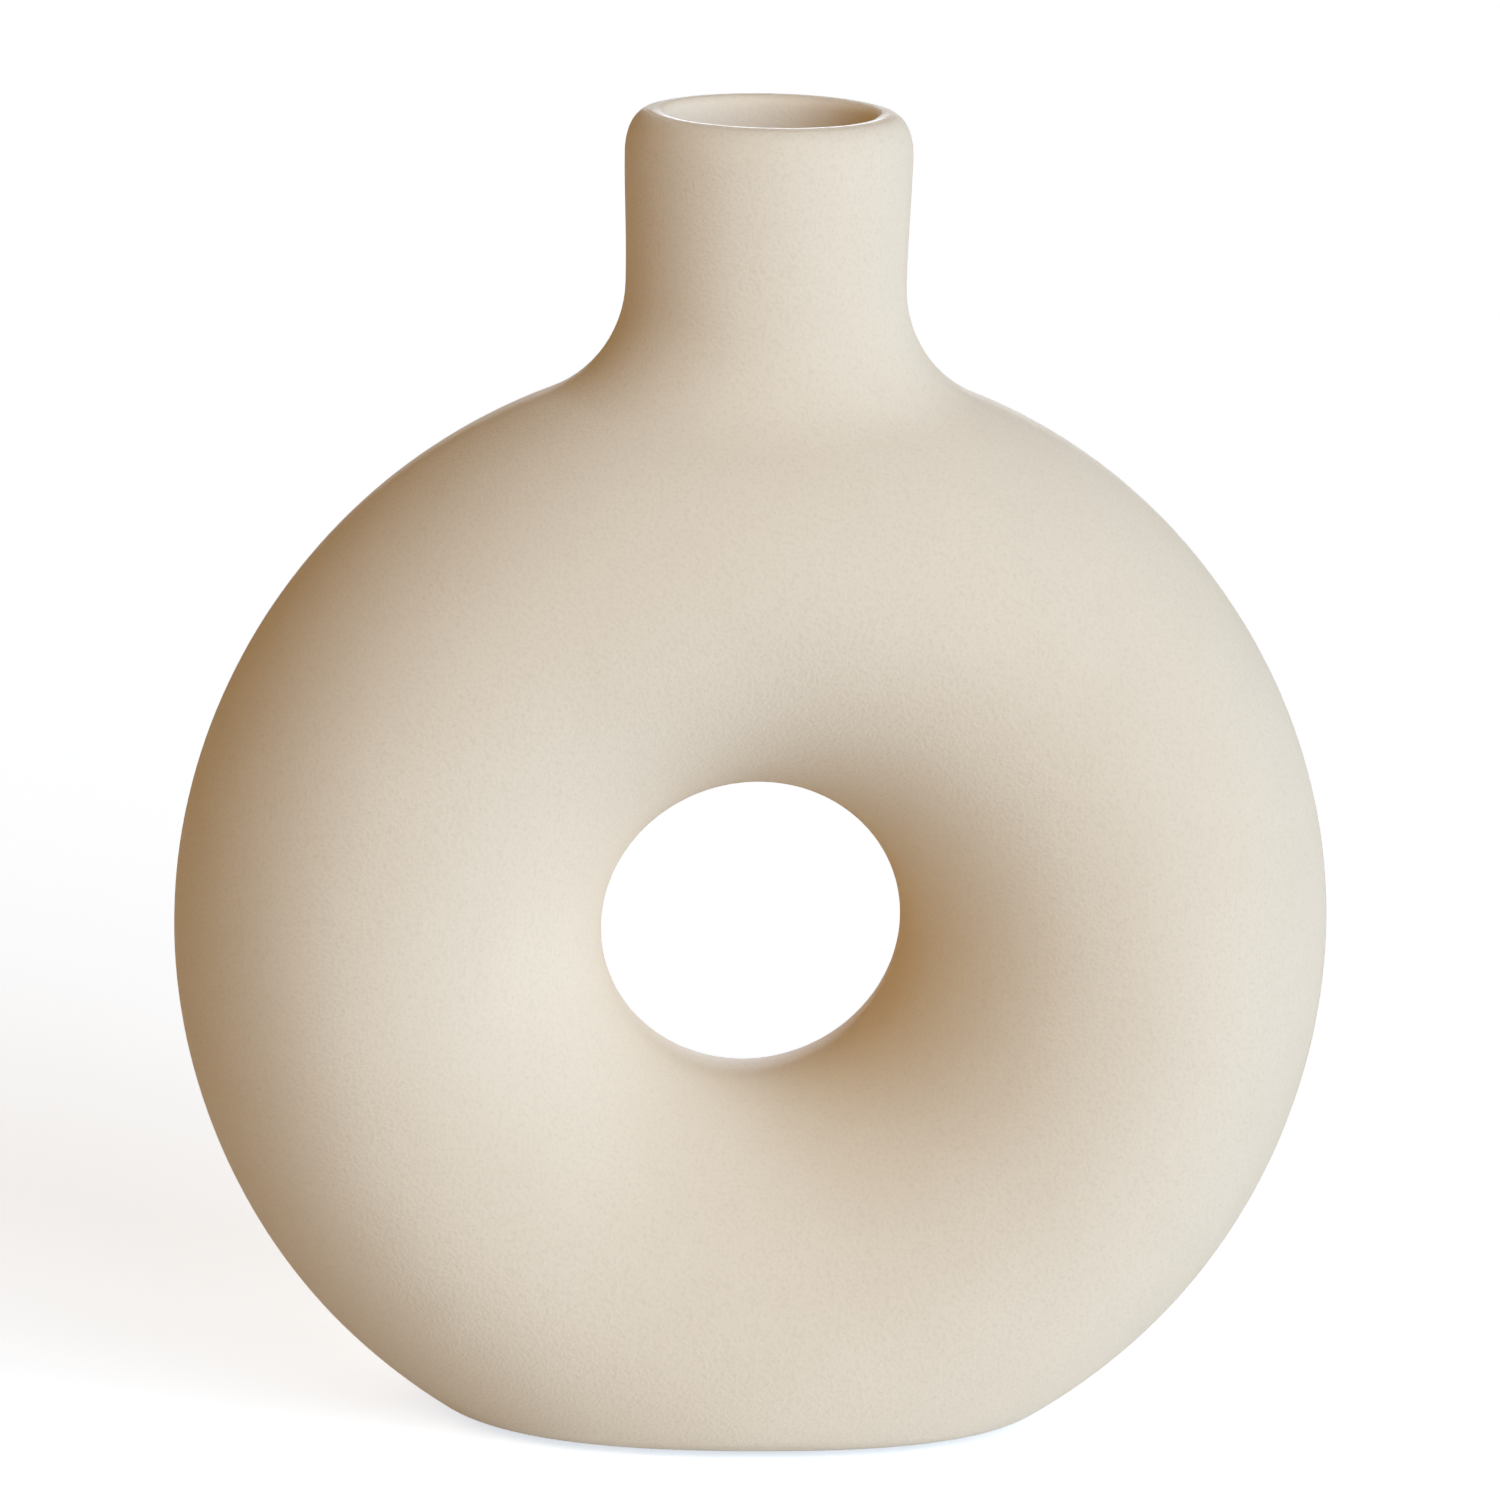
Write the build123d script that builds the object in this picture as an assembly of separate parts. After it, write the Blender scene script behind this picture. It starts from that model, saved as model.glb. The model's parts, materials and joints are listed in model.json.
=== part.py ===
from build123d import *
import math
import os

# Donut vase: a hollow ceramic ring that stands on a flattened foot, with a bottle neck on top.
# It is put together as the clay is: a front and a rear half ring luted along the middle plane,
# a base slab under them, a thrown neck on top, and felt dots stuck under the foot.
# Origin: centre of the footprint, on the table. +Z is up, +X across the ring, and the front faces -Y.

# Driving sizes, in millimetres
ring_diameter = 183.0  # outside of the ring, across the front
hole_diameter = 47.5  # eye of the ring, at its narrowest
ring_depth = 84.0  # front to back
wall = 6.0  # clay wall of the ring and the neck
foot_cut = 12.9  # what the flat foot takes off the round of the ring
foot_edge_radius = 9.0  # rounding from the foot to the ring
foot_rim_width = 14.0
foot_recess_depth = 1.5  # hollow in the underside, inside that rim
base_thickness = 7.0
neck_diameter = 44.4  # outside, at the waist
neck_height = 38.3  # from the crown of the ring to the mouth
neck_blend_radius = 19.0  # sweep from the neck to the ring
neck_joint_margin = 1.5  # straight clay between that sweep and the neck's luted joint
lip_swell = 0.5  # how far the lip stands out past the waist
lip_round_height = 6.5  # the lip's outer rounding is a quarter ellipse
lip_flat_width = 1.2  # between that rounding and the mouth's inner edge
mouth_edge_radius = 1.6
pad_diameter = 8.0
pad_thickness = 0.8
pad_inset = 9.5  # from the foot's outline to a pad's centre
pad_angle = 35.0  # from the X axis, round the foot's rim

# Worked out from those
ring_radius = ring_diameter / 2
hole_radius = hole_diameter / 2
tube_centre = (ring_radius + hole_radius) / 2  # from the ring's axis to the middle of its tube
tube_width = ring_radius - hole_radius
foot_height = pad_thickness  # the foot's plane above the table
floor_height = foot_height + base_thickness
hole_height = foot_height + ring_radius - foot_cut
mouth_height = hole_height + ring_radius + neck_height
neck_radius = neck_diameter / 2
bore_radius = neck_radius - wall
blend_rise = math.sqrt((ring_radius + neck_blend_radius) ** 2 - (neck_radius + neck_blend_radius) ** 2)
throat_height = hole_height + blend_rise + neck_joint_margin

front = Plane.XZ  # its normal points to the front, along -Y
right = Plane.YZ  # its normal points to the right, along +X
upright = (Align.CENTER, Align.CENTER, Align.MIN)


def front_right(piece):
    """The quarter of a piece that lies in front of the middle plane and right of the centre."""
    return split(split(piece, front, keep=Keep.TOP), right, keep=Keep.TOP)


def both_sides(piece, plane):
    """A piece and its mirror image, luted into one."""
    return piece + mirror(piece, plane)


def ring_with_neck(inset, top):
    """Quarter of the ring with its neck swept up to top, solid, every surface moved in by inset."""
    width = tube_width - 2 * inset
    depth = ring_depth - 2 * inset
    round_ring = Rot(90, 0, 0) * Torus(tube_centre, width / 2)
    ring = Pos(0, 0, hole_height) * scale(round_ring, by=(1, depth / width, 1))
    stem_foot = hole_height + tube_centre
    stem = Pos(0, 0, stem_foot) * Cylinder(neck_radius - inset, top - stem_foot, align=upright)
    ring = front_right(ring)
    stem = front_right(stem)
    joined = ring + stem
    crease = new_edges(ring, stem, combined=joined).filter_by(GeomType.BSPLINE)
    return fillet(crease, neck_blend_radius + inset)


def outside_quarter():
    """Quarter of the vase below the neck's joint, solid, cut flat and rounded at the foot."""
    blank = split(ring_with_neck(0, throat_height), Plane((0, 0, foot_height)), keep=Keep.TOP)
    foot_outline = blank.faces().sort_by(Axis.Z).first.edges().filter_by(GeomType.BSPLINE)
    return fillet(foot_outline, foot_edge_radius)


def front_half_ring(outside):
    """Front half ring: an even wall, open at the middle plane, at the throat and over the base."""
    above_base = split(outside, Plane((0, 0, floor_height)), keep=Keep.TOP)
    shell = above_base - ring_with_neck(wall, throat_height + wall)
    return both_sides(shell, right)


def foot_reach():
    """Half width and half depth of the foot's outline, before its edge is rounded."""
    drop = hole_height - foot_height
    across = math.sqrt(ring_radius**2 - drop**2)
    rise = (drop - tube_centre) / (tube_width / 2)
    deep = ring_depth / 2 * math.sqrt(1 - rise**2)
    return across, deep


def base_slab(outside):
    """Base slab: closes the ring from below, with a hollow underside inside a standing rim."""
    below_floor = split(outside, Plane((0, 0, floor_height)), keep=Keep.BOTTOM)
    slab = both_sides(both_sides(below_floor, right), front)
    across, deep = foot_reach()
    hollow = Ellipse(across - foot_rim_width, deep - foot_rim_width)
    return slab - extrude(Pos(0, 0, foot_height) * hollow, foot_recess_depth)


def neck_collar():
    """Thrown neck: stands on the throat, swells to a soft rolled lip and is bored through."""
    lip_radius = neck_radius + lip_swell
    lip_height = mouth_height - lip_round_height
    edge_radius = bore_radius + mouth_edge_radius
    crest_radius = edge_radius + lip_flat_width
    side = Spline((neck_radius, throat_height), (lip_radius, lip_height), tangents=((0, 1), (0, 1)))
    lip = EllipticalCenterArc(
        (crest_radius, lip_height), lip_radius - crest_radius, lip_round_height, arc_size=90
    )
    mouth_edge = CenterArc((edge_radius, mouth_height - mouth_edge_radius), mouth_edge_radius, 90, 90)
    rim = Line(lip @ 1, mouth_edge @ 0)
    bore = Polyline(mouth_edge @ 1, (bore_radius, throat_height), (neck_radius, throat_height))
    profile = make_face([side, lip, rim, mouth_edge, bore])
    return revolve(Plane.XZ * profile, Axis.Z)


def felt_pads():
    """Felt dots under the foot's rim, by name."""
    across, deep = foot_reach()
    turn = math.radians(pad_angle)
    x = (across - pad_inset) * math.cos(turn)
    y = (deep - pad_inset) * math.sin(turn)
    dot = Cylinder(pad_diameter / 2, pad_thickness, align=upright)
    places = {"front_left": (-x, -y), "front_right": (x, -y), "rear_left": (-x, y), "rear_right": (x, y)}
    return {f"felt_pad_{name}": Pos(*place) * dot for name, place in places.items()}


def vase():
    """Every piece of the vase, by name."""
    outside = outside_quarter()
    front_half = front_half_ring(outside)
    return {
        "front_half_ring": front_half,
        "rear_half_ring": mirror(front_half, front),
        "base_slab": base_slab(outside),
        "neck_collar": neck_collar(),
        **felt_pads(),
    }


os.makedirs("parts", exist_ok=True)
for name, piece in vase().items():
    export_step(piece, f"parts/{name}.step")
    print(f"{name}: {piece.volume / 1000:.2f} cm3")
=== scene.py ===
import json
import math
import bpy
import numpy as np
from mathutils import Matrix, Vector


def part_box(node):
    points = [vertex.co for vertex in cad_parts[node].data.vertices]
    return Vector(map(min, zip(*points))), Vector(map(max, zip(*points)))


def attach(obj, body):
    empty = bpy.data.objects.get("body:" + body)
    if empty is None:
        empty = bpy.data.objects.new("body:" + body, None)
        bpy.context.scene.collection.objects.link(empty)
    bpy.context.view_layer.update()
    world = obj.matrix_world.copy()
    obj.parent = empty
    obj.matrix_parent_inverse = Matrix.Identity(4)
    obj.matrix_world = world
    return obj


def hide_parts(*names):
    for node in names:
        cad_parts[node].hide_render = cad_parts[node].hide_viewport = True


# Donut vase in a matte cream glaze: two luted half rings, a base slab, a thrown neck and four felt dots.
# Metres, +Z up, the front faces -Y. Each piece is a numpy surface in the box of the solid it stands for.

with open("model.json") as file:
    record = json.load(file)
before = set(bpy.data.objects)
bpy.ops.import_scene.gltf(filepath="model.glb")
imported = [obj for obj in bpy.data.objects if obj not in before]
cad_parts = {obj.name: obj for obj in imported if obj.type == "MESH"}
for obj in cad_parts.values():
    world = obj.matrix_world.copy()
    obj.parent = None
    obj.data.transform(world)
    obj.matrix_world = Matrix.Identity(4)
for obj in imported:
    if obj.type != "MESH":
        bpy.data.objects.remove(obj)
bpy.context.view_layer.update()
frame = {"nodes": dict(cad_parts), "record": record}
record = frame["record"]
mm = 0.001

halfLow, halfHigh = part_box("front_half_ring")
slabLow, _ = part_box("base_slab")
_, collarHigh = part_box("neck_collar")
eyeBox = next(space["box_m"] for space in record["physics"]["openings"] if space["name"] == "ring_eye")
mouthMount = next(mount for mount in record["mounts"] if mount["name"] == "mouth")


# Steps, grids and faces

def steps(count):
    # that many equal steps from 0 to 1, both ends included
    return np.linspace(0, 1, count + 1)


def eased(share):
    # 0 to 1 with level ends: three times the square, less twice the cube
    return share**2 * (3 - 2 * share)


def gridFaces(rows, cols, start=0, wrapRows=False, wrapCols=False):
    # quads of a grid whose points lie row by row; they face along (column step) x (row step)
    index = start + np.arange(rows * cols).reshape(rows, cols)
    if wrapRows:
        index = np.vstack([index, index[:1]])
    if wrapCols:
        index = np.hstack([index, index[:, :1]])
    return np.stack([index[:-1, :-1], index[:-1, 1:], index[1:, 1:], index[1:, :-1]], -1).reshape(-1, 4)


def fan(pole, rim):
    # triangles from one point to a closed row of points, facing along (row) x (way from the pole)
    return np.stack([np.full(len(rim), pole), np.roll(rim, -1), rim], -1)


def cappedFaces(rows, cols):
    # quads of a grid that closes on itself, and fans that close its first and last rows;
    # the fans' two poles come after the grid's points
    rim = np.arange(cols)
    first = fan(rows * cols, rim)
    last = fan(rows * cols + 1, rim + (rows - 1) * cols)[:, ::-1]
    return gridFaces(rows, cols, wrapCols=True), np.vstack([first, last])


def turned(radius, height, azimuth):
    # radius and height, row by row, set out at each column's azimuth about the Z axis
    return np.stack(np.broadcast_arrays(radius * np.cos(azimuth), radius * np.sin(azimuth), height), -1)


def welded(points, step=1e-6):
    # the first point on each spot, and each point's spot; a spot is one step wide
    keys = np.round(points / step).astype(np.int64)
    _, first, spot = np.unique(keys, axis=0, return_index=True, return_inverse=True)
    return first, spot.reshape(-1)


def openEdges(quads):
    # the edges that only one face uses, in that face's own direction
    edges = np.concatenate([quads[:, [side, (side + 1) % 4]] for side in range(4)])
    _, edge, uses = np.unique(np.sort(edges, 1), axis=0, return_inverse=True, return_counts=True)
    return edges[uses[edge.reshape(-1)] == 1]


# Half rings: an elliptical tube bent into a ring, with the neck's sweep on top and cut level over the base

ring = {
    "eyeRadius": 23.75 * mm,
    "wall": 6.0 * mm,
    "sweepRadius": 19.0 * mm,  # from the neck to the ring
    "cellsAround": 240,
    "cellsAcross": 60,  # from the outer seam to the seam in the eye
    "crownCells": (18, 20),  # around and across, handed over to the neck's sweep
    "footCells": (29, 24),  # and to the wall above the base
    "crownRows": (7, 14, 4),  # along the ring, round the sweep, up the neck
    "footRows": 5,
    "eyeShadeReach": 18 * mm,  # painted warm shade in the eye, this far to the front and back
    "eyeShadeLeast": 0.15,  # share of that painted shade left on the eye's left half; it is fullest on the right wall, which faces away from the key
}
ringRadius = halfHigh.x
halfDepth = -halfLow.y
eyeHeight = (eyeBox[0][2] + eyeBox[1][2]) / 2
floorHeight = halfLow.z  # where the half rings stand on the slab
throatHeight = halfHigh.z  # where the neck stands on them
footHeight = slabLow.z
boreRadius = mouthMount["dims"]["r_mm"] * mm
neckRadius = boreRadius + ring["wall"]
topCell = ring["cellsAround"] // 4
bottomCell = ring["cellsAround"] * 3 // 4


def tube(inset):
    # the tube's centre line, half width and half depth, with the surface moved in by inset
    centre = (ringRadius + ring["eyeRadius"]) / 2
    return centre, ringRadius - centre - inset, halfDepth - inset


def ringSurface(around, across, inset):
    # an ellipse carried round a circle: across 0 is the outer seam, and pi the seam in the eye
    centre, halfWide, halfDeep = tube(inset)
    reach = centre + halfWide * np.cos(across)
    y = -halfDeep * np.sin(across)
    return np.stack(np.broadcast_arrays(reach * np.cos(around), y, eyeHeight + reach * np.sin(around)), -1)


def rise(radius, azimuth, inset):
    # how far the ring's outside lies above the eye's centre, on a line out from the Z axis:
    # the root of the tube's reach at that depth squared, less x squared
    centre, halfWide, halfDeep = tube(inset)
    reach = centre + halfWide * np.sqrt(1 - (radius * np.sin(azimuth) / halfDeep) ** 2)
    return np.sqrt(reach**2 - (radius * np.cos(azimuth)) ** 2)


def fall(radius, azimuth, inset, step=1e-6):
    # how steeply that drops away outwards, by differences
    return (rise(radius - step, azimuth, inset) - rise(radius + step, azimuth, inset)) / (2 * step)


def findRadius(tooFar, low, high, halvings=50):
    # halves the span between low and high that many times, in every column at once
    for _ in range(halvings):
        middle = (low + high) / 2
        far = tooFar(middle)
        low, high = np.where(far, low, middle), np.where(far, middle, high)
    return (low + high) / 2


def neckSweep(azimuth, edge, inset):
    # in along the ring, round an arc that touches both ring and neck, then straight up to the throat;
    # the arc's centre stands its radius off the neck, so the touching point is where
    # radius + bend * sine of the ring's lean = neck + bend
    bend = ring["sweepRadius"] + inset
    neck = neckRadius - inset

    def tooFar(radius):
        slope = fall(radius, azimuth, inset)
        return radius + bend * slope / np.hypot(1, slope) > neck + bend

    touch = findRadius(tooFar, np.full_like(edge, neck), edge)
    lean = np.arctan(fall(touch, azimuth, inset))
    level = eyeHeight + rise(touch, azimuth, inset) + bend * np.cos(lean)
    along, bow, up = (steps(count)[:, None] for count in ring["crownRows"])
    inward = edge + (touch - edge) * along
    turn = lean + (math.pi / 2 - lean) * bow[1:]
    upward = level + (throatHeight - level) * up[1:]
    radius = np.vstack([inward, neck + bend - bend * np.sin(turn), np.full_like(upward, neck)])
    height = np.vstack([eyeHeight + rise(inward, azimuth, inset), level - bend * np.cos(turn), upward])
    return radius, height


def levelCut(azimuth, edge, inset):
    # radius at which the ring's underside reaches the slab
    def tooFar(radius):
        return eyeHeight - rise(radius, azimuth, inset) > floorHeight

    return findRadius(tooFar, 0 * edge, edge)


def wallOverBase(azimuth, edge, inset):
    # in and down along the ring to the level cut
    cut = levelCut(azimuth, edge, inset)
    radius = edge + (cut - edge) * steps(ring["footRows"])[:, None]
    return radius, eyeHeight - rise(radius, azimuth, inset)


def patch(grid, middle, cells, step, profile, inset):
    # fills a gap in the ring's grid: one column from each point round the gap, right side, front, left side
    around, across = cells
    side = np.arange(across)
    front = middle + step * np.arange(-around, around + 1)
    cols = np.concatenate([np.full(across, front[0]), front, np.full(across, front[-1])])
    rows = np.concatenate([side, np.full(len(front), across), side[::-1]])
    edge = grid[rows, cols]
    azimuth = np.arctan2(edge[:, 1], edge[:, 0])
    reach = np.hypot(edge[:, 0], edge[:, 1])
    points = turned(*profile(azimuth, reach, inset), azimuth)
    points[0] = edge
    return points, azimuth, reach


def halfSkin(inset):
    # the ring's grid and the two patches on it
    around = np.arange(ring["cellsAround"]) * (2 * math.pi / ring["cellsAround"])
    across = np.linspace(0, math.pi, ring["cellsAcross"] + 1)
    grid = ringSurface(around[None, :], across[:, None], inset)
    crown, crownAzimuth, _ = patch(grid, topCell, ring["crownCells"], 1, neckSweep, inset)
    foot, footAzimuth, footReach = patch(grid, bottomCell, ring["footCells"], -1, wallOverBase, inset)
    return (grid, crown, foot), (crownAzimuth, footAzimuth, footReach)


def skinFaces(grid, crown, foot):
    # the ring's quads outside the two gaps, then the quads of the patches
    rows, cols = grid.shape[:2]
    faces = gridFaces(rows, cols, wrapCols=True).reshape(rows - 1, cols, 4)
    keep = np.ones((rows - 1, cols), bool)
    for middle, (around, across) in ((topCell, ring["crownCells"]), (bottomCell, ring["footCells"])):
        keep[:across, middle - around : middle + around] = False
    crownFaces = gridFaces(*crown.shape[:2], start=rows * cols)[:, ::-1]
    footFaces = gridFaces(*foot.shape[:2], start=rows * cols + crown.shape[0] * crown.shape[1])
    return np.vstack([faces[keep], crownFaces, footFaces])


def stacked(parts):
    # the points of several grids in one list
    return np.vstack([part.reshape(-1, 3) for part in parts])


def paintedEyeShade(points):
    # painted warm shade: a bell curve in Y about the eye's seam, inside the tube's centre line, times the
    # share for that side
    x, y, z = points.T
    side = np.arctan2(z - eyeHeight, x)
    share = ring["eyeShadeLeast"] + (1 - ring["eyeShadeLeast"]) * np.maximum(np.cos(side), 0)
    inEye = np.hypot(x, z - eyeHeight) < tube(0)[0]
    return inEye * share * np.exp(-((y / ring["eyeShadeReach"]) ** 2))


def halfRing():
    # outer skin, inner skin a wall further in, and flat strips between their open edges
    outer, columns = halfSkin(0)
    inner, _ = halfSkin(ring["wall"])
    first, spot = welded(stacked(outer))
    used, quads = np.unique(spot[skinFaces(*outer)], return_inverse=True)
    quads = quads.reshape(-1, 4)
    outerPoints = stacked(outer)[first][used]
    innerPoints = stacked(inner)[first][used]
    points = np.vstack([outerPoints, innerPoints])
    count = len(outerPoints)
    edges = openEdges(quads)
    strips = np.stack([edges[:, 1], edges[:, 0], edges[:, 0] + count, edges[:, 1] + count], -1)
    shape = {
        "points": points,
        "quads": np.vstack([quads, quads[:, ::-1] + count, strips]),
        "smooth": np.repeat([True, False], [2 * len(quads), len(strips)]),
        "wave": np.repeat([1.0, 0.0], count),
        # painted warm shade in the eye, kept on the points
        "paintedEyeShade": paintedEyeShade(points),
    }
    return shape, columns


def mirrored(shape):
    # the same piece behind the middle plane
    return {**shape, "points": shape["points"] * (1, -1, 1), "quads": shape["quads"][:, ::-1]}


def fullCircle(columns, side=1):
    # the front's columns, right to left, and their mirror images behind
    return np.concatenate([columns, side * columns[-2:0:-1]])


frontHalf, (crownAzimuth, footAzimuth, footReach) = halfRing()
shapes = {"front_half_ring": frontHalf, "rear_half_ring": mirrored(frontHalf)}
print("half rings: points", len(frontHalf["points"]), "quads", len(frontHalf["quads"]))


# Base slab: floor of the chamber above, rounded foot and standing rim below

slab = {
    "edgeRadius": 9.0 * mm,
    "rimWidth": 14.0 * mm,
    "recessDepth": 1.5 * mm,
    "recessSlope": 2.4 * mm,  # width of the soft step into the recess
    "floorRings": (0.3, 0.6, 0.8, 1.0),  # shares of the way out
    "recessRings": (0.7, 0.35),  # and of the way from the middle to that step
    "sideRows": 4,
    "edgeRows": 12,
    "rimRows": 5,
    "slopeRows": 8,
}


def footOval(azimuth, inset):
    # radius of an ellipse that lies inset from where the foot's plane cuts the ring
    drop = eyeHeight - footHeight
    centre, halfWide, halfDeep = tube(0)
    across = math.sqrt(ringRadius**2 - drop**2) - inset
    deep = halfDeep * math.sqrt(1 - ((drop - centre) / halfWide) ** 2) - inset
    return 1 / np.hypot(np.cos(azimuth) / across, np.sin(azimuth) / deep)


def baseSlab(azimuth, reach):
    # out over the floor, down the ring's side, round an arc that touches side and foot, in over the rim,
    # up a soft step and in to the middle of the recess
    bend = slab["edgeRadius"]
    cut = levelCut(azimuth, reach, 0)

    def tooFar(radius):
        lean = np.arctan(fall(radius, azimuth, 0))
        return eyeHeight - rise(radius, azimuth, 0) + bend * np.cos(lean) > footHeight + bend

    touch = findRadius(tooFar, 0 * cut, cut)
    lean = np.arctan(fall(touch, azimuth, 0))
    centre = touch - bend * np.sin(lean)
    down, bow, over, step = (
        steps(slab[rows])[1:, None] for rows in ("sideRows", "edgeRows", "rimRows", "slopeRows")
    )
    floorRows = cut * np.array(slab["floorRings"])[:, None]
    sideRows = cut + (touch - cut) * down
    turn = lean * (1 - bow)
    stepStart = footOval(azimuth, slab["rimWidth"]) + slab["recessSlope"] / 2
    rimRows = centre + (stepStart - centre) * over
    slopeRows = stepStart - slab["recessSlope"] * step
    recessRows = slopeRows[-1] * np.array(slab["recessRings"])[:, None]
    ceiling = footHeight + slab["recessDepth"]
    radius = np.vstack([floorRows, sideRows, centre + bend * np.sin(turn), rimRows, slopeRows, recessRows])
    height = np.vstack([
        np.full_like(floorRows, floorHeight),
        eyeHeight - rise(sideRows, azimuth, 0),
        footHeight + bend - bend * np.cos(turn),
        np.full_like(rimRows, footHeight),
        footHeight + slab["recessDepth"] * eased(step) + 0 * slopeRows,
        np.full_like(recessRows, ceiling),
    ])
    rows, cols = radius.shape
    quads, tris = cappedFaces(rows, cols)
    poles = [(0, 0, floorHeight), (0, 0, ceiling)]
    flatRows = len(floorRows) - 1
    flatFaces = flatRows * cols
    outside = np.repeat(np.arange(rows) >= flatRows, cols)
    return {
        "points": np.vstack([turned(radius, height, azimuth).reshape(-1, 3), poles]),
        "quads": quads,
        "tris": tris,
        "smooth": np.repeat([False, True, False, True], [flatFaces, len(quads) - flatFaces, cols, cols]),
        "wave": np.append(outside, [0, 0]).astype(float),
    }


shapes["base_slab"] = baseSlab(fullCircle(footAzimuth, -1), fullCircle(footReach))
print("base slab: points", len(shapes["base_slab"]["points"]))


# Neck collar: thrown, so it is one profile turned about the Z axis

collar = {
    "lipRoundHeight": 6.5 * mm,
    "lipFlat": 1.2 * mm,
    "mouthEdge": 1.6 * mm,
    "sideRows": 14,
    "lipRows": 16,
    "flatRows": 3,
    "edgeRows": 10,
    "boreRows": 44,
    "ringPitch": 4.4 * mm,  # finger rings up the bore
    "ringDepth": 0.16 * mm,
    "crestReach": 0.6 * mm,  # how far the thin glaze and painted highlight reach either side of the lip's crest
    "highlightEnds": (-0.1, 0.45),  # share of the radius in front at which that starts, and is full; the highlight is painted on the front only
    "boreLight": 0.9,  # share of that pale colour down the bore, as painted light
}


def thinAndHighlightShare(radius, height, azimuth, outerRows):
    # pale share: over the lip, thin glaze and a painted highlight, a bell curve across its crest times a
    # ramp from its sides to its front;
    # in the bore, painted light, a ramp round the mouth's edge, then level
    way = np.append(0, np.cumsum(np.hypot(np.diff(radius), np.diff(height))))  # along the profile
    crestWay = way[outerRows + collar["flatRows"] // 2]
    crossways = np.exp(-(((way - crestWay) / collar["crestReach"]) ** 2))
    start, full = collar["highlightEnds"]
    lengthways = np.clip((-np.sin(azimuth) - start) / (full - start), 0, 1)
    edgeStart = outerRows + collar["flatRows"] - 1
    startWay, fullWay = way[edgeStart], way[edgeStart + collar["edgeRows"]]
    inBore = np.clip((way - startWay) / (fullWay - startWay), 0, 1)
    return np.maximum(np.outer(crossways, lengthways), collar["boreLight"] * inBore[:, None])


def neckCollar(azimuth):
    # up the side, over a quarter ellipse, across the flat, round the mouth's edge and down the bore
    lipRadius, mouthHeight = collarHigh.x, collarHigh.z
    lipHeight = mouthHeight - collar["lipRoundHeight"]
    bend = collar["mouthEdge"]
    edge = boreRadius + bend
    crest = edge + collar["lipFlat"]
    side = steps(collar["sideRows"])
    lip = np.linspace(0, math.pi / 2, collar["lipRows"] + 1)[1:]
    flat = steps(collar["flatRows"])[1:]
    inner = np.linspace(math.pi / 2, math.pi, collar["edgeRows"] + 1)[1:]
    depth = steps(collar["boreRows"])[1:]
    boreTop = mouthHeight - bend
    boreHeight = boreTop + (throatHeight - boreTop) * depth
    rings = np.sin((boreTop - boreHeight) * (math.pi / collar["ringPitch"])) ** 2
    radius = np.concatenate([
        neckRadius + (lipRadius - neckRadius) * eased(side),
        crest + (lipRadius - crest) * np.cos(lip),
        crest + (edge - crest) * flat,
        edge + bend * np.cos(inner),
        boreRadius + collar["ringDepth"] * rings * np.sin(math.pi * depth),
    ])
    height = np.concatenate([
        throatHeight + (lipHeight - throatHeight) * side,
        lipHeight + collar["lipRoundHeight"] * np.sin(lip),
        np.full_like(flat, mouthHeight),
        boreTop + bend * np.sin(inner),
        boreHeight,
    ])
    rows, cols = len(radius), len(azimuth)
    quads = gridFaces(rows, cols, wrapRows=True, wrapCols=True)[:, ::-1]
    outerRows = len(side) + len(lip)
    outside = np.arange(rows) < outerRows
    return {
        "points": turned(radius[:, None], height[:, None], azimuth).reshape(-1, 3),
        "quads": quads,
        "smooth": np.repeat([True, False], [len(quads) - cols, cols]),
        "wave": np.repeat(outside.astype(float), cols),
        # thin glaze with a painted highlight on the lip's front, and painted light in the bore
        "thinGlazeAndHighlight": thinAndHighlightShare(radius, height, azimuth, outerRows).ravel(),
    }


shapes["neck_collar"] = neckCollar(fullCircle(crownAzimuth, -1))
print("neck collar: points", len(shapes["neck_collar"]["points"]))


# Felt pads: pressed dots with a frayed edge

felt = {
    "cells": 72,
    "faceRings": 10,
    "sideRows": 6,
    "edgeRound": 0.25 * mm,
    "fray": 0.18 * mm,  # most that the edge is taken in
    "frayPower": 6,  # how closely the fray keeps to the edge
    "nap": 0.05 * mm,  # most that the faces are taken in
    "seed": 11,
}
padNodes = sorted(name for name in frame["nodes"] if name.startswith("felt_pad"))


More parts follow.
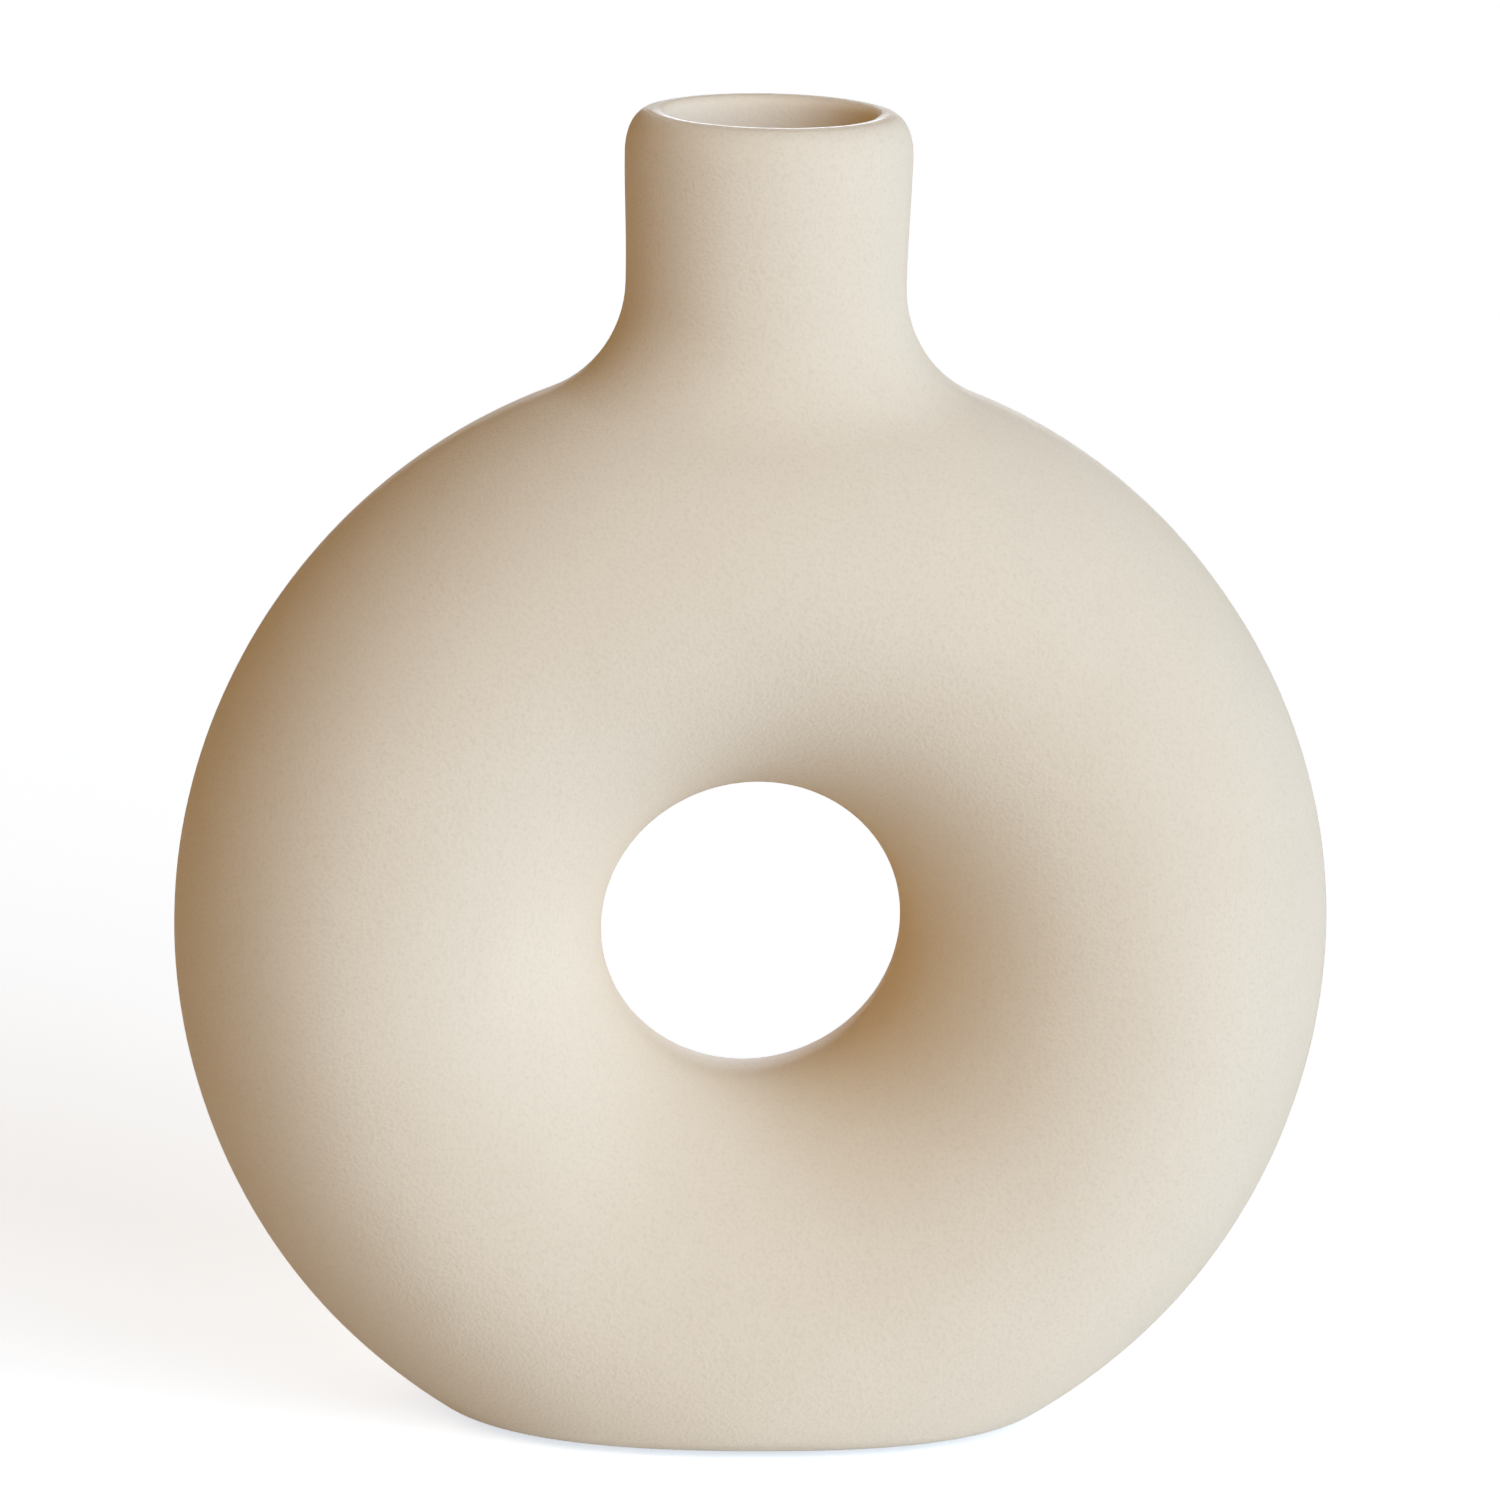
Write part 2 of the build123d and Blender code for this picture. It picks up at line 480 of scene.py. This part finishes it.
def feltPad(low, high, dice):
    # out over the lower face, up a rounded side and in over the upper face; fray takes the side in,
    # nap takes both faces in
    centre = (np.array(low) + np.array(high)) / 2
    size = (np.array(high) - np.array(low)) / 2
    radius, half, bend = min(size[0], size[1]), size[2], felt["edgeRound"]
    azimuth = np.arange(felt["cells"]) * (2 * math.pi / felt["cells"])
    face = steps(felt["faceRings"])[1:-1] * (radius - bend)
    faceHeight = np.full(len(face), half)
    turn = np.linspace(-math.pi / 2, math.pi / 2, felt["sideRows"] + 1)
    sideRadius = radius - bend + bend * np.cos(turn)
    sideHeight = (half - bend) * np.sign(turn) + bend * np.sin(turn)
    profileRadius = np.concatenate([face, sideRadius, face[::-1]])[:, None]
    profileHeight = np.concatenate([-faceHeight, sideHeight, faceHeight])[:, None]
    draws = dice.random((2, len(profileRadius), felt["cells"]))
    frayed = profileRadius - felt["fray"] * draws[0] * (profileRadius / radius) ** felt["frayPower"]
    onFace = np.abs(profileHeight) > half - bend
    napped = profileHeight - np.sign(profileHeight) * felt["nap"] * draws[1] * onFace
    poles = [(0, 0, -half), (0, 0, half)]
    points = np.vstack([turned(frayed, napped, azimuth).reshape(-1, 3), poles]) + centre
    quads, tris = cappedFaces(*frayed.shape)
    return {
        "points": points,
        "quads": quads,
        "tris": tris,
        "smooth": np.ones(len(quads) + len(tris), bool),
        "wave": np.zeros(len(points)),
    }


dice = np.random.default_rng(felt["seed"])
for padNode in padNodes:
    shapes[padNode] = feltPad(*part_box(padNode), dice)
print("felt pads:", len(padNodes))


# Shading normals are summed over the whole vase, so that no seam shows where two pieces meet

def faceList(shape):
    # a piece's quads and triangles, which may be none
    return shape["quads"], shape.get("tris", np.zeros((0, 3), int))


def faceNormals(points, faces):
    # half the cross product of the diagonals, or of two sides: its length is the face's area
    corner = points[faces]
    if faces.shape[1] == 4:
        return np.cross(corner[:, 2] - corner[:, 0], corner[:, 3] - corner[:, 1]) / 2
    return np.cross(corner[:, 1] - corner[:, 0], corner[:, 2] - corner[:, 0]) / 2


def unit(vectors, least=1e-12):
    # each vector over its length
    return vectors / np.maximum(np.linalg.norm(vectors, axis=-1, keepdims=True), least)


def sharedNormals():
    # each point's normal is the sum, by area, of the smooth faces on its spot, whichever piece they are on
    names = list(shapes)
    starts = np.cumsum([0] + [len(shapes[name]["points"]) for name in names])
    _, spot = welded(np.vstack([shapes[name]["points"] for name in names]))
    total = np.zeros((spot.max() + 1, 3))
    for name, start in zip(names, starts):
        shape = shapes[name]
        quads, tris = faceList(shape)
        split = len(quads)
        for faces, smooth in ((quads, shape["smooth"][:split]), (tris, shape["smooth"][split:])):
            normal = faceNormals(shape["points"], faces)[smooth]
            for corner in faces[smooth].T:
                np.add.at(total, spot[corner + start], normal)
    vertex = unit(total)[spot]
    return {name: vertex[start:stop] for name, start, stop in zip(names, starts, starts[1:])}


# Hand-smoothed clay: slow waves, always inwards, that fade out towards the foot

clay = {
    "waveDepth": 0.25 * mm,
    "waveFade": 14 * mm,  # height over the foot by which the waves are full
    "waves": ((61.0, 23.0, 47.0), (-38.0, 71.0, 66.0), (90.0, -54.0, -29.0)),  # radians per metre
    "phases": (0.4, 2.1, 4.6),
}


def handWaves(points):
    # the mean of three sine waves across the clay, out of step with each other, from 0 to 1
    return 0.5 + np.sin(points @ np.array(clay["waves"]).T + clay["phases"]).mean(-1) / 2


normals = sharedNormals()
for name, shape in shapes.items():
    fade = eased(np.clip((shape["points"][:, 2] - footHeight) / clay["waveFade"], 0, 1))
    depth = clay["waveDepth"] * handWaves(shape["points"]) * shape["wave"] * fade
    shape["points"] = shape["points"] - normals[name] * depth[:, None]
normals = sharedNormals()
print("clay: waves up to", clay["waveDepth"])


# Materials

def setInputs(node, values):
    for name, value in values.items():
        node.inputs[name].default_value = value


def addNode(tree, kind, inputs=None, **settings):
    made = tree.nodes.new(kind)
    for name, value in settings.items():
        setattr(made, name, value)
    setInputs(made, inputs or {})
    return made


def ownValue(tree, name):
    # the piece's own attribute, 0 where it has none
    return addNode(tree, "ShaderNodeAttribute", attribute_name=name).outputs["Fac"]


def noise(tree, coords, size, detail, rough):
    # noise whose features are about size across
    made = addNode(tree, "ShaderNodeTexNoise", {"Scale": 1 / size, "Detail": detail, "Roughness": rough})
    tree.links.new(coords, made.inputs["Vector"])
    return made.outputs[0]


def ranged(tree, value, fromLow, fromHigh, toLow=0.0, toHigh=1.0):
    # the value, taken from one range to another and kept in it
    made = addNode(tree, "ShaderNodeMapRange", {
        "From Min": fromLow, "From Max": fromHigh, "To Min": toLow, "To Max": toHigh,
    })
    tree.links.new(value, made.inputs["Value"])
    return made.outputs["Result"]


def reckoned(tree, operation, first, second):
    # one sum or comparison of two values
    made = addNode(tree, "ShaderNodeMath", operation=operation)
    tree.links.new(first, made.inputs[0])
    tree.links.new(second, made.inputs[1])
    return made.outputs[0]


def mixed(tree, share, colourA, colourB):
    # colourA where share is 0, colourB where it is 1; each a colour or another node's output
    made = addNode(tree, "ShaderNodeMix", data_type="RGBA")
    tree.links.new(share, made.inputs[0])
    for socket, colour in ((made.inputs[6], colourA), (made.inputs[7], colourB)):  # the two colour sockets
        if isinstance(colour, tuple):
            socket.default_value = (*colour, 1)
        else:
            tree.links.new(colour, socket)
    return made.outputs[2]


def bumped(tree, height, strength, depth, normal=None):
    # a normal tilted by that height, over another bump's normal where one is given
    made = addNode(tree, "ShaderNodeBump", {"Strength": strength, "Distance": depth})
    tree.links.new(height, made.inputs["Height"])
    if normal is not None:
        tree.links.new(normal, made.inputs["Normal"])
    return made.outputs[0]


def newMaterial(name):
    made = bpy.data.materials.new(name)
    made.use_nodes = True
    shader = made.node_tree.nodes["Principled BSDF"]
    coords = made.node_tree.nodes.new("ShaderNodeTexCoord").outputs["Object"]
    return made, made.node_tree, shader, coords


glaze = {
    "cream": (0.850, 0.742, 0.611),
    "deepCream": (0.826, 0.714, 0.579),
    "thinAndLitCream": (0.930, 0.805, 0.660),  # paler: thin glaze with a painted highlight over the lip's crest, painted light in the bore
    "eyeShadeCream": (0.810, 0.610, 0.365),  # painted warm shade in the eye, fullest on its right wall
    "bareClay": (0.560, 0.470, 0.370),
    "mottle": {"size": 42 * mm, "detail": 4, "rough": 0.55},
    "mottleRange": (0.35, 0.65),  # of the noise, from deep cream to cream
    "grain": {"size": 0.6 * mm, "detail": 3, "rough": 0.6},
    "grainRange": (0.48, 0.72),  # of the noise, from no speck to a full one
    "grainColour": (0.690, 0.580, 0.445),
    "grainShare": 0.36,  # of that colour in a full speck
    "grainBump": (0.9, 0.14 * mm),  # strength and height
    "peel": {"size": 2.6 * mm, "detail": 2, "rough": 0.5},
    "peelBump": (0.10, 0.15 * mm),
    "glazeLine": 1.1 * mm,  # over the table; the clay is bare below it
    "lineBlur": 0.25 * mm,
    "lineWobble": 0.5 * mm,
    "wobble": {"size": 9 * mm, "detail": 2, "rough": 0.5},
    "wobbleRange": (0.3, 0.7),  # of the noise, from the lowest to the highest
    "roughness": {"clay": 0.92, "glaze": 0.82, "thinAndLit": 0.6},
    "shader": {"Specular IOR Level": 0.06, "Diffuse Roughness": 0.4},
}


def glazeCover(tree, coords):
    # 1 over the glaze line and 0 below it; the line wobbles up and down
    split = addNode(tree, "ShaderNodeSeparateXYZ")
    tree.links.new(coords, split.inputs[0])
    most = glaze["lineWobble"] / 2
    wobble = ranged(tree, noise(tree, coords, **glaze["wobble"]), *glaze["wobbleRange"], -most, most)
    height = reckoned(tree, "ADD", split.outputs["Z"], wobble)
    low, high = glaze["glazeLine"] - glaze["lineBlur"], glaze["glazeLine"] + glaze["lineBlur"]
    return ranged(tree, height, low, high)


def matteGlaze():
    # mottled cream with fine specks, warmer with painted shade in the eye, paler with thin glaze and a
    # painted highlight on the lip and painted light in the bore, and bare clay at the foot
    made, tree, shader, coords = newMaterial("matteGlaze")
    mottle, grain, peel = (noise(tree, coords, **glaze[name]) for name in ("mottle", "grain", "peel"))
    shadeShare, thinAndLit = ownValue(tree, "paintedEyeShade"), ownValue(tree, "thinGlazeAndHighlight")
    covered = glazeCover(tree, coords)
    speck = ranged(tree, grain, *glaze["grainRange"], 0, glaze["grainShare"])
    colour = mixed(tree, ranged(tree, mottle, *glaze["mottleRange"]), glaze["deepCream"], glaze["cream"])
    # painted warm shade on the eye's right wall
    colour = mixed(tree, shadeShare, colour, glaze["eyeShadeCream"])
    colour = mixed(tree, speck, colour, glaze["grainColour"])
    # thin glaze with a painted highlight on the lip's front, and painted light in the bore
    colour = mixed(tree, thinAndLit, colour, glaze["thinAndLitCream"])
    colour = mixed(tree, covered, glaze["bareClay"], colour)
    tree.links.new(colour, shader.inputs["Base Color"])
    rough = glaze["roughness"]
    bare = ranged(tree, covered, 0, 1, rough["clay"] - rough["glaze"], 0)
    satin = ranged(tree, thinAndLit, 0, 1, rough["glaze"], rough["thinAndLit"])
    tree.links.new(reckoned(tree, "ADD", bare, satin), shader.inputs["Roughness"])
    skin = bumped(tree, peel, *glaze["peelBump"])
    tree.links.new(bumped(tree, grain, *glaze["grainBump"], skin), shader.inputs["Normal"])
    setInputs(shader, glaze["shader"])
    return made


wool = {
    "light": (0.50, 0.46, 0.40),
    "dark": (0.30, 0.27, 0.23),
    "fibre": {"size": 0.35 * mm, "detail": 3, "rough": 0.65},
    "fibreRange": (0.3, 0.7),  # of the noise, from dark to light
    "fibreStretch": (1, 0.25, 1),
    "fibreTurn": (0, 0, 0.6),  # radians
    "fibreBump": (0.6, 0.1 * mm),  # strength and height
    "mat": {"size": 1.8 * mm, "detail": 3, "rough": 0.6},
    "matRange": (0.3, 0.8),  # of the noise, from no light tuft to a full one
    "matShare": 0.5,  # of the light colour in a full tuft
    "shader": {"Roughness": 1.0, "Specular IOR Level": 0.1, "Sheen Weight": 0.3},
}


def woolFelt():
    # dark and light fibres that lie one way, with light tufts matted into them
    made, tree, shader, coords = newMaterial("woolFelt")
    lay = addNode(tree, "ShaderNodeMapping", {"Scale": wool["fibreStretch"], "Rotation": wool["fibreTurn"]})
    tree.links.new(coords, lay.inputs["Vector"])
    fibre = noise(tree, lay.outputs[0], **wool["fibre"])
    tuft = ranged(tree, noise(tree, coords, **wool["mat"]), *wool["matRange"], 0, wool["matShare"])
    colour = mixed(tree, ranged(tree, fibre, *wool["fibreRange"]), wool["dark"], wool["light"])
    tree.links.new(mixed(tree, tuft, colour, wool["light"]), shader.inputs["Base Color"])
    tree.links.new(bumped(tree, fibre, *wool["fibreBump"]), shader.inputs["Normal"])
    setInputs(shader, wool["shader"])
    return made


finishes = {"matte_glaze": matteGlaze(), "felt": woolFelt()}
print("finishes:", len(finishes))


# Pieces: each shape becomes a mesh in its own place and stands for its node

def makePiece(node, shape, slotName):
    quads, tris = faceList(shape)
    mesh = bpy.data.meshes.new(node + "_skin")
    mesh.from_pydata(shape["points"].tolist(), [], quads.tolist() + tris.tolist())
    mesh.shade_smooth()
    flat = np.vstack([unit(faceNormals(shape["points"], faces)) for faces in (quads, tris)])
    corners = np.concatenate([quads.ravel(), tris.ravel()])
    owner = np.repeat(np.arange(len(flat)), [4] * len(quads) + [3] * len(tris))
    loops = np.where(shape["smooth"][owner][:, None], normals[node][corners], flat[owner])
    mesh.normals_split_custom_set(loops.tolist())
    # the painted highlight and painted shade shares go onto the mesh as point attributes
    for name in ("thinGlazeAndHighlight", "paintedEyeShade"):
        if name in shape:
            mesh.attributes.new(name, "FLOAT", "POINT").data.foreach_set("value", shape[name])
    mesh.materials.append(finishes[slotName])
    piece = bpy.data.objects.new(node + "_skin", mesh)
    bpy.context.scene.collection.objects.link(piece)
    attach(piece, "root")
    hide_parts(node)


for node, shape in shapes.items():
    makePiece(node, shape, "felt" if node in padNodes else "matte_glaze")
print("pieces:", len(shapes))


# Camera at the photograph's angle: it looks at a point a little over the eye, and is rolled slightly

view = {
    "distance": 1.600,  # from the eye's centre
    "elevation": 13.09,  # degrees
    "turn": 4.23,  # degrees round to the left of the vase
    "roll": 1.33,  # degrees by which the vase leans to the right
    "frameWidth": 1500,  # pixels
    "eyePixel": (751.3, 921.4),  # where the eye's centre falls in that frame
    "pixelsPerMetre": 6301.0,  # at the eye's centre
    "sensor": 36.0,  # millimetres
    "clip": (0.05, 50),
}


def direction(azimuth, elevation):
    # from the vase to what stands that many degrees right of the front and above the floor
    turn, up = math.radians(azimuth), math.radians(elevation)
    return Vector((math.sin(turn) * math.cos(up), -math.cos(turn) * math.cos(up), math.sin(up)))


def pictureAxes(away):
    # the picture's right and up, for a camera that looks against away
    roll = math.radians(view["roll"])
    right = Vector((0, 0, 1)).cross(away).normalized()
    above = away.cross(right)
    return (
        right * math.cos(roll) + above * math.sin(roll),
        above * math.cos(roll) - right * math.sin(roll),
    )


def setCamera():
    eye = Vector((0, 0, eyeHeight))
    back = direction(-view["turn"], view["elevation"])
    place = eye + back * view["distance"]
    right, above = pictureAxes(back)
    half = view["frameWidth"] / 2
    offset = [(half - pixel) / view["pixelsPerMetre"] for pixel in view["eyePixel"]]
    aim = eye + right * offset[0] - above * offset[1]
    away = (place - aim).normalized()
    right, above = pictureAxes(away)
    data = bpy.data.cameras.new("camera")
    data.sensor_width = view["sensor"]
    data.lens = view["pixelsPerMetre"] * view["distance"] / view["frameWidth"] * view["sensor"]
    data.clip_start, data.clip_end = view["clip"]
    camera = bpy.data.objects.new("camera", data)
    camera.matrix_world = Matrix.Translation(place) @ Matrix((right, above, away)).transposed().to_4x4()
    bpy.context.scene.collection.objects.link(camera)
    bpy.context.scene.camera = camera


setCamera()
print("camera: in place")


# Light: distant softboxes, a dim surround, and a pale floor that reads as white but keeps the shadow

studio = {
    "softboxes": {  # azimuth right of the front, elevation, width in degrees, strength by colour
        "key": (35, 8, 60, (3.12, 3.85, 4.61)),
        "fill": (-60, 25, 60, (0.37, 0.22, 0.02)),
        "rear": (176, 2, 3, (2.12, 2.53, 3.04)),
    },
    "surround": (0.178, 0.104, 0.037),
    "backdrop": (1, 1, 1),  # seen directly only, in place of the surround
    "floorColour": (0.85, 0.85, 0.85),
    "floorGlow": (0.632, 0.675, 0.724),  # seen directly only; with the lamps' light it adds up to white
    "floorSize": 12.0,
}


def softbox(name, azimuth, elevation, width, colour):
    # a sun lamp of that angular width, shining from that direction towards the vase
    strength = max(colour)
    data = bpy.data.lights.new(name, "SUN")
    data.energy = strength
    data.color = [channel / strength for channel in colour]
    data.angle = math.radians(width)
    lamp = bpy.data.objects.new(name, data)
    lamp.rotation_mode = "QUATERNION"
    lamp.rotation_quaternion = direction(azimuth, elevation).to_track_quat("Z", "Y")
    bpy.context.scene.collection.objects.link(lamp)


def seenDirectly(tree):
    # 1 for rays that should see plain white: from the camera, a gloss or glass
    path = tree.nodes.new("ShaderNodeLightPath")
    share = path.outputs["Is Camera Ray"]
    for name in ("Is Glossy Ray", "Is Transmission Ray"):
        share = reckoned(tree, "MAXIMUM", share, path.outputs[name])
    return share


def chosen(tree, plain, direct):
    # one shader for rays that see it directly, another for the rest
    choice = tree.nodes.new("ShaderNodeMixShader")
    tree.links.new(seenDirectly(tree), choice.inputs[0])
    tree.links.new(plain.outputs[0], choice.inputs[1])
    tree.links.new(direct.outputs[0], choice.inputs[2])
    return choice.outputs[0]


def setSurround():
    world = bpy.data.worlds.new("surround")
    world.use_nodes = True
    bpy.context.scene.world = world
    tree = world.node_tree
    dim = tree.nodes["Background"]
    setInputs(dim, {"Color": (*studio["surround"], 1)})
    white = addNode(tree, "ShaderNodeBackground", {"Color": (*studio["backdrop"], 1)})
    tree.links.new(chosen(tree, dim, white), tree.nodes["World Output"].inputs["Surface"])


def paleFloor():
    # matt white, with a glow added for the camera so that the open floor is white and the shadow stays
    made = bpy.data.materials.new("paleFloor")
    made.use_nodes = True
    tree = made.node_tree
    tree.nodes.remove(tree.nodes["Principled BSDF"])
    matt = addNode(tree, "ShaderNodeBsdfDiffuse", {"Color": (*studio["floorColour"], 1)})
    glow = addNode(tree, "ShaderNodeEmission", {"Color": (*studio["floorGlow"], 1)})
    dark = addNode(tree, "ShaderNodeEmission", {"Strength": 0.0})
    both = tree.nodes.new("ShaderNodeAddShader")
    tree.links.new(matt.outputs[0], both.inputs[0])
    tree.links.new(chosen(tree, dark, glow), both.inputs[1])
    tree.links.new(both.outputs[0], tree.nodes["Material Output"].inputs["Surface"])
    return made


def setFloor():
    half = studio["floorSize"] / 2
    corners = [(-half, -half, 0), (half, -half, 0), (half, half, 0), (-half, half, 0)]
    mesh = bpy.data.meshes.new("floor")
    mesh.from_pydata(corners, [], [(0, 1, 2, 3)])
    mesh.materials.append(paleFloor())
    floor = bpy.data.objects.new("floor", mesh)
    bpy.context.scene.collection.objects.link(floor)


for name, settings in studio["softboxes"].items():
    softbox(name, *settings)
setSurround()
setFloor()
bpy.context.scene.view_settings.view_transform = "Standard"
print("studio: softboxes", len(studio["softboxes"]))
